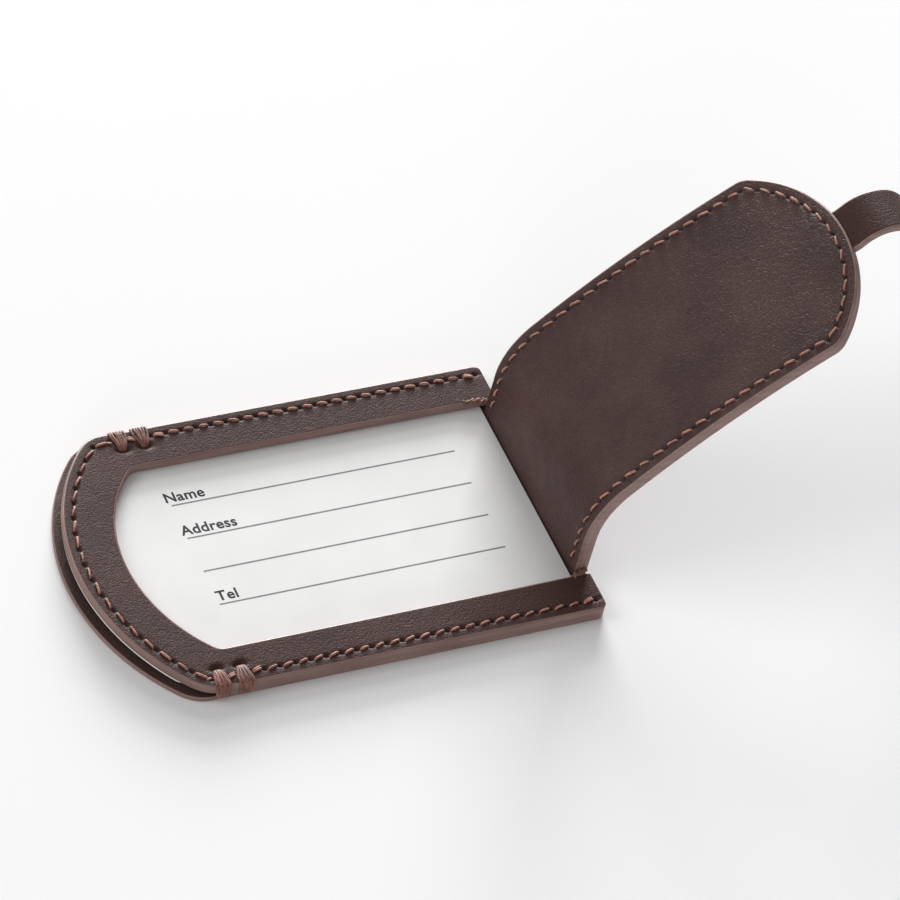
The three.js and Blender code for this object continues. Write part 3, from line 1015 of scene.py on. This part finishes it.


# Painted shade in the needle holes of the rails, lip and flap.
def make_hole_shade():
    rails = SLEEVE_HOLES[SLEEVE_HOLES[:, 0] > LIP_X]
    lip = SLEEVE_HOLES[SLEEVE_HOLES[:, 0] <= LIP_X]
    on_rails = hole_shade_discs("rail_hole_shade", rails, TOP_Z, flat)
    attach(on_rails, "sleeve")
    on_lip = hole_shade_discs("lip_hole_shade", lip, TOP_Z, lifted)
    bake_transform(on_lip)
    upper = FLAP_HOLES[FLAP_HOLES[:, 0] < FLAP_OUTLINE.square_x]
    on_panel = hole_shade_discs("flap_hole_shade", upper, 0.0, on_flap)
    bend_across(on_panel)


def make_bar_tack(x, side, node):
    """Strands side by side over the sleeve's edge, from a puckered hole to the underside."""
    parts = []
    strands = 7
    edge = HALF_WIDTH + 0.16
    for i in range(strands):
        share = i / (strands - 1) - 0.5
        spread = 2.7 * share
        wobble = 0.13 * RNG.standard_normal(7)
        rise = 0.16 * (i % 2) + 0.10 * (1 - (2 * share) ** 2)
        route = np.array([
            (x + 0.30 * spread, HALF_WIDTH - TACK_REACH - 0.2, TOP_Z - 0.8),
            (x + 0.45 * spread + wobble[0], HALF_WIDTH - TACK_REACH + 0.2, TOP_Z + 0.05 + rise / 2),
            (x + 0.75 * spread + wobble[1], HALF_WIDTH - TACK_REACH + 1.6, TOP_Z + 0.20 + rise),
            (x + 0.95 * spread + wobble[2], HALF_WIDTH - 1.2, TOP_Z + 0.24 + rise),
            (x + spread + wobble[3], edge - 0.35, TOP_Z + 0.20 + rise / 2),
            (x + spread + wobble[3], edge + 0.05, TOP_Z - 0.35),
            (x + 0.95 * spread + wobble[4], edge + 0.08 + rise / 3, TOP_Z / 2),
            (x + 0.85 * spread + wobble[5], edge - 0.02, 0.75),
            (x + 0.80 * spread + wobble[5], edge - 0.35, 0.36),
            (x + 0.70 * spread, edge - 1.2, 0.5),
        ])
        t = np.linspace(0, len(route) - 1, 50)
        smooth = np.stack([np.interp(t, range(len(route)), route[:, c]) for c in range(3)], 1)
        for _ in range(6):
            smooth[1:-1] = 0.25 * smooth[:-2] + 0.5 * smooth[1:-1] + 0.25 * smooth[2:]
        points, faces = tube(smooth, np.full(len(smooth), 0.27 + 0.04 * wobble[6]))
        points[:, 1] *= side
        parts.append((points, faces if side > 0 else [face[::-1] for face in faces]))
    tack = joined(node + "_thread", parts, BROWN, flat)
    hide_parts(node)
    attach(tack, "sleeve")


def make_foot_tack(name, start, end, node, strands=9):
    """Short crossed strands in a row, which hold a corner of the flap's foot to the rail."""
    parts = []
    start, end = np.array(start), np.array(end)
    along = math.atan2(end[1] - start[1], end[0] - start[0])
    for i in range(strands):
        share = i / (strands - 1)
        turn = along + (0.6 if i % 2 else -0.35) + 0.15 * RNG.standard_normal()
        spot = start + (end - start) * share + 0.15 * RNG.standard_normal(2)
        way = np.array([math.cos(turn), math.sin(turn)])
        height = TOP_Z - 0.05 + 0.28 * share + 0.06 * RNG.standard_normal()
        parts.append(stitch(spot, way, 1.25 + 0.12 * RNG.standard_normal(), height, 0.0, 0.24))
    tack = joined(name, parts, BROWN, flat)
    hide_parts(node)
    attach(tack, "sleeve")


def make_tacks():
    for side, word, spots in ((-1, "near", NEAR_TACKS), (1, "far", FAR_TACKS)):
        for number, x in enumerate(spots, 1):
            make_bar_tack(x, side, f"{word}_bar_tack_{number}")
    make_foot_tack("near_corner_thread", (45.6, -23.3), (48.3, -22.6), "near_foot_tack")
    make_foot_tack("far_corner_thread", (42.6, 23.3), (46.2, 22.7), "far_foot_tack")


# ---------------------------------------------------------------- strap

ROOT_IN = 5.0
TIP = FLAP_LINE[-1]
MIDDLE_X = TIP[0] + PLY * math.sin(TIP[2])
MIDDLE_Z = TIP[1] - PLY * math.cos(TIP[2])
REST_Z = STRAP_THICKNESS / 2 + FLOOR_GAP
ARCH_START = TIP[2] + RISE
ARCH_TURN = ARCH_START + FALL
RISE_END_Z = MIDDLE_Z + RISE_RADIUS * (math.cos(TIP[2]) - math.cos(ARCH_START))
ARCH_END_Z = RISE_END_Z + ARCH_RADIUS * (math.cos(FALL) - math.cos(ARCH_START))
FALL_END_Z = REST_Z + FLOOR_RADIUS * (1 - math.cos(FALL))
FALL_RUN = (ARCH_END_Z - FALL_END_Z) / math.sin(FALL)
STRAP_MOVES = [
    (RISE, RISE_RADIUS), (-ARCH_TURN, ARCH_RADIUS), (0, FALL_RUN), (FALL, FLOOR_RADIUS), (0, FLOOR_RUN),
]


def make_strap():
    """The strap: a band with painted edges and a round end, along the route of its CAD solid."""
    free = walk(MIDDLE_X, MIDDLE_Z, TIP[2], STRAP_MOVES)
    root_x = MIDDLE_X - ROOT_IN * math.cos(TIP[2])
    root_z = MIDDLE_Z - ROOT_IN * math.sin(TIP[2])
    whole = walk(root_x, root_z, TIP[2], [(0, ROOT_IN)] + STRAP_MOVES)
    along = measured(whole)
    length = along[-1]
    outline = Outline(length, 0.0, STRAP_WIDTH / 2, STRAP_WIDTH / 2 + 0.02, 0.3, 0.5)
    half = STRAP_THICKNESS / 2
    loop, paint = [], []
    for inset, z in ((2.2, -half), (1.0, -half)):
        loop.append((inset, z))
        paint.append(0)
    for inset, drop in reversed(rounding(0.4)):
        loop.append((inset, -half + drop))
        paint.append(1)
    for inset, drop in rounding(0.4):
        loop.append((inset, half - drop))
        paint.append(1)
    paint[-1] = 0
    for inset in (1.0, 2.2):
        loop.append((inset, half))
        paint.append(0)

    def place(points):
        distance = length - points[:, 0]
        thin = 0.35 + 0.65 * np.clip(distance / ROOT_IN, 0, 1)
        return on_line(whole, along, distance, points[:, 1], points[:, 2] * thin)

    strap = plate("leather_strap", outline, loop, paint[:-1], [FRAME_LEATHER, EDGE], place, across=10)
    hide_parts("strap")
    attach(strap, "flap")
    stud, screw = make_stud(free[-1, 0] - STUD_FROM_END)
    for piece in (strap, stud, screw):
        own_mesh(piece)


def make_stud(x):
    """A turned collar stud and the screw that holds it from below."""
    base = REST_Z + STRAP_THICKNESS / 2
    profile = [(0, 0), (2.9, 0), (3, 0.15), (3, 0.55), (2.75, 0.8), (1.6, 1.05), (1.3, 1.4), (1.3, 2.4),
               (1.7, 2.9), (2.35, 3.4), (2.6, 3.95), (2.6, 4.3), (2.2, 4.95), (1.3, 5.45), (0, 5.6)]
    stud = turned("collar_stud", profile, x, base)
    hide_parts("strap_stud")
    head = [(0, 0.12), (1.5, 0.12), (1.6, 0.0), (2.85, 0.0), (3, 0.15), (3, 0.65), (2.9, 0.75), (0, 0.75)]
    screw = turned("stud_screw", head, x, FLOOR_GAP)
    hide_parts("strap_stud_screw")
    for piece in (stud, screw):
        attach(piece, "flap")
    return stud, screw


def turned(name, profile, x, base, sides=48):
    """A lathe-turned piece about an upright axis, from its profile of (radius, height) points."""
    points = [(x, 0, base + profile[0][1])]
    ring = np.arange(sides) * 2 * math.pi / sides
    for radius, z in profile[1:-1]:
        points += [(x + radius * math.cos(a), radius * math.sin(a), base + z) for a in ring]
    points.append((x, 0, base + profile[-1][1]))
    last = len(points) - 1
    faces = [(0, 1 + (s + 1) % sides, 1 + s) for s in range(sides)]
    rows = len(profile) - 2
    for r in range(rows - 1):
        a, b = 1 + r * sides, 1 + (r + 1) * sides
        faces += [(a + s, a + (s + 1) % sides, b + (s + 1) % sides, b + s) for s in range(sides)]
    a = 1 + (rows - 1) * sides
    faces += [(a + s, a + (s + 1) % sides, last) for s in range(sides)]
    return finish_mesh(name, np.array(points), faces, [BRASS], angle=50)


# ---------------------------------------------------------------- camera, floor and light

def make_camera():
    camera = bpy.data.objects.new("camera", bpy.data.cameras.new("camera"))
    bpy.context.scene.collection.objects.link(camera)
    camera.data.lens = 220
    camera.data.sensor_width = 36
    camera.data.clip_start = 0.05
    azimuth, elevation, lean = (math.radians(a) for a in (35.39, 46.76, 16.36))
    forward = Vector((math.sin(azimuth) * math.cos(elevation), math.cos(azimuth) * math.cos(elevation),
                      -math.sin(elevation)))
    right = forward.cross(Vector((0, 0, 1))).normalized()
    up = right.cross(forward)
    tilted_right = right * math.cos(lean) + up * math.sin(lean)
    tilted_up = up * math.cos(lean) - right * math.sin(lean)
    turn = Matrix((tilted_right, tilted_up, -forward)).transposed()
    camera.matrix_world = Matrix.Translation((-0.3906, -0.5860, 0.7840)) @ turn.to_4x4()
    bpy.context.scene.camera = camera


def area_light(name, spot, target, size, power):
    light = bpy.data.lights.new(name, "AREA")
    light.shape = "RECTANGLE"
    light.size, light.size_y = size
    light.energy = power
    lamp = bpy.data.objects.new(name, light)
    bpy.context.scene.collection.objects.link(lamp)
    lamp.location = spot
    lamp.rotation_euler = (Vector(target) - Vector(spot)).to_track_quat("-Z", "Y").to_euler()


def make_stage():
    bpy.ops.mesh.primitive_plane_add(size=6)
    floor = bpy.context.object
    floor.name = "floor"
    m = Nodes("floor_paint", 0.7, specular=0.1)
    m.link(m.ramp(m.noise(3.0), (0.3, (0.86,) * 3), (0.7, (0.88,) * 3)), m.shader.inputs["Base Color"])
    floor.data.materials.append(m.material)
    area_light("low_key", (1.4, 3.8, 0.95), (0.0, 0.0, 0.0), (2.2, 1.1), 285)
    area_light("high_key", (1.5, 4.1, 2.6), (0.0, 0.0, 0.0), (2.6, 1.6), 90)
    area_light("fill_light", (-3.6, 1.2, 3.0), (0.0, 0.0, 0.0), (3.2, 2.4), 70)
    area_light("edge_light", (-2.4, -3.4, 0.8), (0.0, 0.0, 0.0), (2.0, 0.8), 40)
    world = bpy.data.worlds.new("studio")
    world.use_nodes = True
    world.node_tree.nodes["Background"].inputs["Color"].default_value = (1, 1, 1, 1)
    world.node_tree.nodes["Background"].inputs["Strength"].default_value = 0.34
    bpy.context.scene.world = world
    bpy.context.scene.view_settings.view_transform = "Standard"


make_camera()
make_stage()
make_strap()
make_frame()
make_spacers()
make_back()
make_card()
make_flap()
make_seams()
make_tacks()
make_hole_shade()
